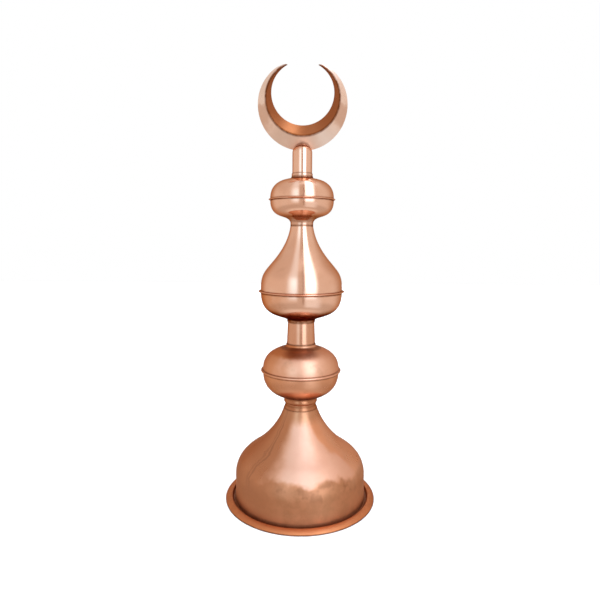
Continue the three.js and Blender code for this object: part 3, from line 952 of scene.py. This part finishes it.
def add_slit_tube():
    """The domed tube, with the crescent's lower edge cut out of its end."""
    verts, faces = turn_about_axis(upper_tube_section(), spun(9, 0.1))
    # Grime at the ball's neck, and painted shade on the dome's top round the crescent
    grime_and_shade = bands((UPPER_BALL_TOP, 1.6, 0.9), (DOME_FOOT + DOME_HEIGHT - 3, 4.5, 0.9))
    tube = finish_mesh("upper_tube_fine", verts, faces, SHARP_ANGLE, [grime_and_shade(*v) for v in verts])
    cutter_verts, cutter_faces = crescent_mesh(SEAM, 1, CUTTER_STEPS)[:2]
    cutter = finish_mesh("crescent_cutter", cutter_verts, cutter_faces, CRESCENT_SHARP_ANGLE,
                         [0.0] * len(cutter_verts))
    cut = tube.modifiers.new("slit", "BOOLEAN")
    cut.operation = "DIFFERENCE"
    cut.solver = "EXACT"
    cut.object = cutter
    seen = tube.evaluated_get(bpy.context.evaluated_depsgraph_get())
    result = bpy.data.meshes.new_from_object(seen)
    tube.modifiers.clear()
    tube.data = result
    bpy.data.objects.remove(cutter, do_unlink=True)
    dress(tube, "upper_tube", bright)


# Beside dark joints, the bands paint shade in the hollows round necks and tubes, under the ribs, under the
# lower ball and in the bowl's underside
add_turned("base_bell", bell_section(), worked, hand_worked, bell_grime_and_shade, rim_tint)
add_turned("neck_collar", collar_section(), dull, spun(1, 0.2),
           bands((COLLAR_FOOT, 1.0, 0.8), (COLLAR_FOOT + CONE_HEIGHT, 1.8, 0.6), (COLLAR_TOP, 2.4, 0.9)))
add_turned("lower_ball_lower_half", lower_ball_lower_section(), satin_below,
           spun(2, 0.5), bands((LOWER_BALL_FOOT + 4, 15.0, 0.95), (LOWER_RIB_FOOT, 1.9, 1.0)))
add_turned("lower_ball_upper_half", lower_ball_upper_section(), satin, spun(3, 0.5),
           bands((LOWER_RIB_TOP, 1.2, 0.6), (LOWER_BALL_TOP - 8, 2.6, 0.6), (LOWER_BALL_TOP, 1.0, 0.7)))
add_turned("lower_tube", lower_tube_section(), rolled, spun(4, 0.25),
           bands((LOWER_BALL_TOP, 1.6, 0.9), (VASE_FOOT, 1.6, 0.9)))
add_turned("vase_bowl", vase_bowl_section(), bright_below, spun(5, 0.5),
           bands((VASE_FOOT, 1.4, 0.6), (VASE_FOOT + 13, 16.5, 1.0), (VASE_RIB_FOOT, 1.6, 1.0)))
add_turned("vase_shoulder_and_neck", vase_upper_section(), bright, spun(6, 0.45),
           bands((VASE_RIB_TOP, 1.0, 0.4), (VASE_TOP, 1.2, 0.9)))
add_turned("upper_ball_lower_half", upper_ball_lower_section(), bright, spun(7, 0.4),
           bands((UPPER_BALL_FOOT, 0.9, 0.8), (UPPER_BALL_FOOT + 14, 9.0, 0.5), (UPPER_RIB_FOOT, 1.3, 1.0)))
add_turned("upper_ball_upper_half", upper_ball_upper_section(), bright, spun(8, 0.4),
           bands((UPPER_RIB_TOP, 0.9, 0.4), (UPPER_BALL_TOP - 9, 4.5, 0.8), (UPPER_BALL_TOP, 1.0, 0.7)))
add_crescent()
add_slit_tube()


# Floor, light and camera

FLOOR_HALF = 6.0
PAPER_WHITE = rgb(0.92, 0.92, 0.92)


def make_floor():
    mesh = bpy.data.meshes.new("studio_floor")
    corners = [(-FLOOR_HALF, -FLOOR_HALF, 0), (FLOOR_HALF, -FLOOR_HALF, 0),
               (FLOOR_HALF, FLOOR_HALF, 0), (-FLOOR_HALF, FLOOR_HALF, 0)]
    mesh.from_pydata(corners, [], [(0, 1, 2, 3)])
    floor = bpy.data.objects.new("studio_floor", mesh)
    bpy.context.scene.collection.objects.link(floor)
    material = bpy.data.materials.new("pale_paper")
    material.use_nodes = True
    shader = material.node_tree.nodes["Principled BSDF"]
    shader.inputs["Base Color"].default_value = PAPER_WHITE
    shader.inputs["Roughness"].default_value = 0.9
    shader.inputs["Specular IOR Level"].default_value = 0.0
    mesh.materials.append(material)
    floor.visible_glossy = False


def make_floor_light():
    """Daylight that keeps the paper as pale as the backdrop. The copper doesn't mirror it."""
    light = bpy.data.lights.new("paper_light", "SUN")
    light.energy = 1.6
    light.angle = math.radians(60)
    lamp = bpy.data.objects.new("paper_light", light)
    lamp.rotation_euler = Euler((math.radians(12), math.radians(-8), 0))
    lamp.visible_glossy = False
    bpy.context.scene.collection.objects.link(lamp)


# The studio as the copper mirrors it: the general level, the floor near by and right below, the ceiling,
# and the room behind the finial
STUDIO_LEVEL = rgb(0.80, 0.76, 0.70)
FLOOR_NEAR = rgb(0.62, 0.57, 0.51)
FLOOR_BELOW = rgb(0.86, 0.84, 0.80)
CEILING = rgb(0.98, 1.0, 1.0)
BEHIND = rgb(0.60, 0.44, 0.33)

# Each patch: left edge and its softness, right edge and its softness, bottom, top and their softness in
# degrees, colour, and how much of it covers what lies behind. Sides are placed by their azimuth from the
# front, to the right when positive. Streaks are placed so that the copper mirrors them as straight bands.
SIDES = [
    (-170, 10, -56, 14, 25, 100, 16, rgb(0.68, 0.63, 0.57), 0.85),
    (110, 20, 160, 20, -20, 50, 15, rgb(0.60, 0.50, 0.42), 0.7),
]
STREAKS = [
    (10, 8, 52, 14, -46, -10, 8, rgb(0.96, 1.06, 1.12), 1.0),
    (-11, 4, 9, 3, -45, 75, 10, rgb(0.66, 0.61, 0.55), 0.85),
    (3.5, 1.2, 8, 1.2, -30, 78, 8, rgb(0.30, 0.19, 0.13), 0.75),
    (-33, 12, -12, 4, -8, 84, 9, rgb(0.98, 1.18, 1.34), 1.0),
    (-33, 12, -12, 4, -8, 40, 18, rgb(1.3, 1.8, 2.2), 1.0),
    (11, 2.5, 42, 7, -8, 88, 9, rgb(2.4, 3.1, 3.8), 1.0),
]


def add_patches(g, total, patches, across, elevation):
    for left, soft_left, right, soft_right, bottom, top, soft_ends, colour, share in patches:
        wide = g.between(across, left, soft_left, right, soft_right)
        tall = g.between(elevation, bottom, soft_ends, top, soft_ends)
        total = g.blend(g.product(wide, tall, share), total, colour)
    return total


def make_world():
    world = bpy.data.worlds.new("studio")
    bpy.context.scene.world = world
    world.use_nodes = True
    g = Graph(world.node_tree)
    x, y, z = g.split(g.node("ShaderNodeTexCoord").outputs["Generated"])
    azimuth = g.bearing(x, y)
    elevation = g.product(g.math("ARCSINE", z), TO_DEGREES)
    streak_bearing = g.product(g.math("ARCTAN2", x, g.math("SUBTRACT", 1.0, y)), 2 * TO_DEGREES)

    total = g.blend(g.rise(elevation, -34, -18), FLOOR_NEAR, STUDIO_LEVEL)
    total = g.blend(g.rise(elevation, -48, -66), total, FLOOR_BELOW)
    total = g.blend(g.rise(elevation, 40, 75), total, CEILING)
    total = g.blend(g.product(g.rise(y, 0.35, 0.9), g.rise(elevation, 75, 45)), total, BEHIND)
    total = add_patches(g, total, SIDES, azimuth, elevation)
    total = add_patches(g, total, STREAKS, streak_bearing, elevation)

    studio = g.node("ShaderNodeBackground", {"Color": total, "Strength": 1.0})
    backdrop = g.node("ShaderNodeBackground", {"Color": rgb(1.0, 1.0, 1.0), "Strength": 1.0})
    seen = g.node("ShaderNodeLightPath").outputs["Is Camera Ray"]
    mixed = g.node("ShaderNodeMixShader", {0: seen})
    g.tree.links.new(studio.outputs[0], mixed.inputs[1])
    g.tree.links.new(backdrop.outputs[0], mixed.inputs[2])
    out = g.node("ShaderNodeOutputWorld")
    g.tree.links.new(mixed.outputs[0], out.inputs[0])


# The photograph's view: where the camera stands in metres, and how far it looks down and rolls in degrees
CAMERA_PLACE = (-0.003, -1.1492, 0.6108)
CAMERA_DOWN = 6.683
CAMERA_ROLL = 0.4
SENSOR = 36.0
LENS = 29.81


def make_camera():
    data = bpy.data.cameras.new("camera")
    data.sensor_width = SENSOR
    data.sensor_fit = "HORIZONTAL"
    data.lens = LENS
    camera = bpy.data.objects.new("camera", data)
    turn = Euler((math.radians(90 - CAMERA_DOWN), 0, 0)).to_matrix()
    roll = Euler((0, 0, math.radians(CAMERA_ROLL))).to_matrix()
    camera.rotation_euler = (turn @ roll).to_euler()
    camera.location = CAMERA_PLACE
    bpy.context.scene.collection.objects.link(camera)
    bpy.context.scene.camera = camera


make_floor()
make_floor_light()
make_world()
make_camera()
bpy.context.scene.view_settings.view_transform = "Standard"
